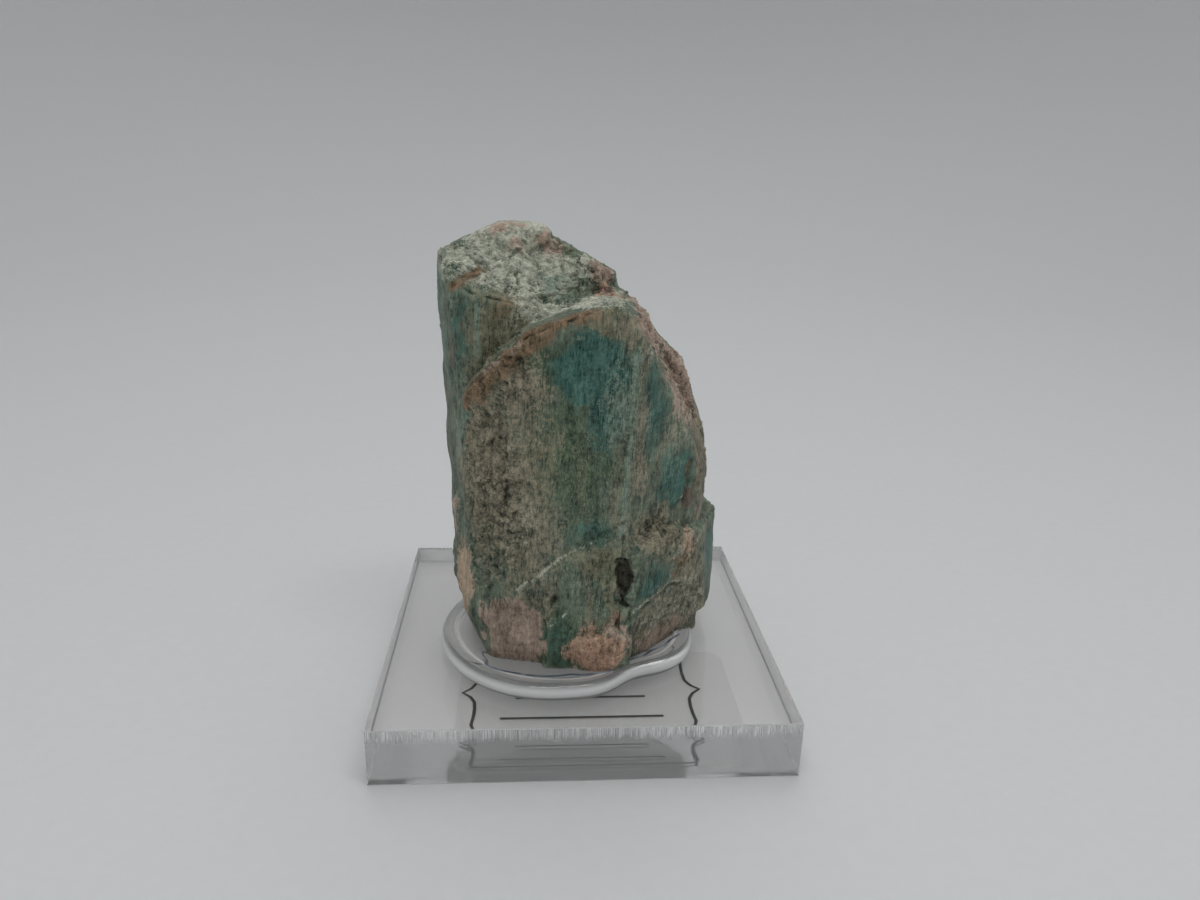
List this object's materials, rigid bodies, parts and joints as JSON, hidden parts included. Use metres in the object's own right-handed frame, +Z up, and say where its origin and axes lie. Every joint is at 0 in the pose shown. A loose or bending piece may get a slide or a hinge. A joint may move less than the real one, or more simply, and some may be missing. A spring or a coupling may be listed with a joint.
{
  "type": "rough amazonite specimen on a clear base",
  "caption": "Rough blue-green amazonite crystal group with broken, granular top and flat crystal faces, glued upright on a square clear acrylic display block with a bare label below",
  "frame": {"origin": "middle of the acrylic block's underside, on the surface that it stands on", "axes": "+Z up along the crystals' height, -Y towards the viewer of the picture, where the label lies, +X to the viewer's right"},
  "size_m": [0.0444, 0.0444, 0.0542],
  "materials": {
    "amazonite_stone": "dull to glassy crystal faces, granular breaks, blue-green with pale streaks and pinkish-brown stain",
    "clear_glue": "clear, smooth, wet-looking",
    "clear_acrylic": "clear polished top, fine saw marks on the sides",
    "label_film": "translucent film with a thin black ruled frame"
  },
  "bodies": {
    "root": {"amazonite": "amazonite_stone", "adhesive_pad": "clear_glue", "acrylic_base": "clear_acrylic", "label": "label_film"}
  },
  "joints": []
}
